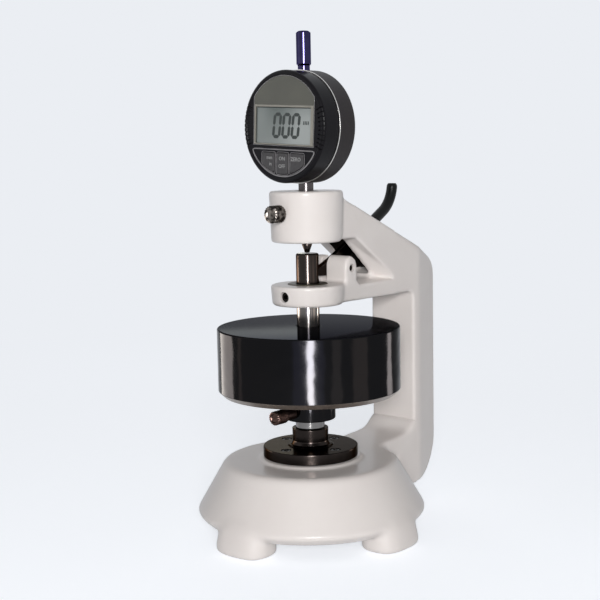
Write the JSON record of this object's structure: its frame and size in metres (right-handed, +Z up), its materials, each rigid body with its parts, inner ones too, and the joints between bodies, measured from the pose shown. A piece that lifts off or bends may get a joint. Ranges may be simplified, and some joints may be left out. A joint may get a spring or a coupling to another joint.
{
  "type": "benchtop thickness tester",
  "caption": "Benchtop thickness tester: a lever lifts a dead weight on a guided spindle under a digital indicator on a cast C-arm.",
  "frame": {"origin": "on the bench under the middle of the footprint, half way between the front of the base and the back of the column", "axes": "+Z up along the spindle, -Y to the front where the operator stands, +X to the operator's right"},
  "size_m": [0.1308, 0.1774, 0.2698],
  "materials": {
    "ivory_enamel": "smooth gloss enamel over a casting",
    "ground_steel": "ground, dark and oiled",
    "hard_chrome": "polished",
    "sintered_bronze": "dark and oiled",
    "black_moulding": "satin moulding",
    "black_rubber": "smooth, slightly shiny",
    "smoked_window": "clear with a printed border",
    "display_glass": "grey-green segment display",
    "circuit_board": "coated laminate",
    "grey_key": "satin"
  },
  "bodies": {
    "frame": {"base_casting": "ivory_enamel", "arm_casting": "ivory_enamel", "arm_bolt_lower": "ground_steel", "arm_bolt_upper": "ground_steel", "arm_washer_lower": "ground_steel", "arm_washer_upper": "ground_steel", "anvil": "ground_steel", "anvil_screw_1": "ground_steel", "anvil_screw_2": "ground_steel", "anvil_screw_3": "ground_steel", "anvil_screw_4": "ground_steel", "guide_bush": "sintered_bronze", "guide_grub_screw": "ground_steel", "stem_bush": "sintered_bronze", "lever_pivot_pin": "ground_steel", "indicator_case": "black_moulding", "indicator_back_cover": "black_moulding", "back_cover_screw_1": "ground_steel", "back_cover_screw_2": "ground_steel", "back_cover_screw_3": "ground_steel", "back_cover_screw_4": "ground_steel", "cell_cover": "black_moulding", "button_cell": "hard_chrome", "seam_ring": "hard_chrome", "scale_board": "circuit_board", "indicator_stem": "hard_chrome", "return_spring": "ground_steel", "dust_cap": "hard_chrome"},
    "spindle": {"spindle_shaft": "ground_steel", "presser_foot": "hard_chrome", "weight": "hard_chrome"},
    "weight_clamp": {"weight_clamp_screw": "hard_chrome"},
    "plunger": {"plunger_rod": "hard_chrome", "contact_point": "ground_steel", "scale_carrier": "black_moulding"},
    "lever": {"lift_lever": "ground_steel", "lever_sleeve": "black_rubber"},
    "stem_clamp": {"stem_clamp_screw": "hard_chrome"},
    "display_head": {"bezel": "black_moulding", "display_window": "smoked_window", "display_panel": "display_glass", "circuit_board": "circuit_board", "key_mat": "black_rubber"},
    "left_key": {"button_left": "grey_key"},
    "middle_key": {"button_middle": "grey_key"},
    "right_key": {"button_right": "grey_key"}
  },
  "joints": [
    {"name": "spindle_lift", "type": "slide", "parent": "frame", "child": "spindle", "axis": [0, 0, 1], "range_m": [0, 0.005]},
    {"name": "plunger_slide", "type": "slide", "parent": "frame", "child": "plunger", "axis": [0, 0, 1], "range_m": [0, 0.005], "deforming": ["return_spring"]},
    {"name": "lever_turn", "type": "hinge", "parent": "frame", "child": "lever", "pos_m": [0, -0.0041, 0.1435], "axis": [-1, 0, 0], "range_deg": [0, 20.3]},
    {"name": "weight_clamp_turn", "type": "hinge", "parent": "spindle", "child": "weight_clamp", "pos_m": [0, -0.0453, 0.0668], "axis": [0, -1, 0], "range_deg": [0, 360]},
    {"name": "stem_clamp_turn", "type": "hinge", "parent": "frame", "child": "stem_clamp", "pos_m": [0, -0.0483, 0.1745], "axis": [0, -1, 0], "range_deg": [0, 360]},
    {"name": "display_turn", "type": "hinge", "parent": "frame", "child": "display_head", "pos_m": [0, -0.0233, 0.2197], "axis": [-0.0523, -0.9986, 0], "range_deg": [-135, 135]},
    {"name": "left_key_press", "type": "slide", "parent": "display_head", "child": "left_key", "axis": [0.0523, 0.9986, 0], "range_m": [0, 0.0006], "stiffness_N_per_m": 300},
    {"name": "middle_key_press", "type": "slide", "parent": "display_head", "child": "middle_key", "axis": [0.0523, 0.9986, 0], "range_m": [0, 0.0006], "stiffness_N_per_m": 300},
    {"name": "right_key_press", "type": "slide", "parent": "display_head", "child": "right_key", "axis": [0.0523, 0.9986, 0], "range_m": [0, 0.0006], "stiffness_N_per_m": 300}
  ],
  "couplings": [
    {"joint": "plunger_slide", "follows": "spindle_lift", "ratio": 1},
    {"joint": "lever_turn", "follows": "spindle_lift", "rad_per_m": 70.79}
  ]
}
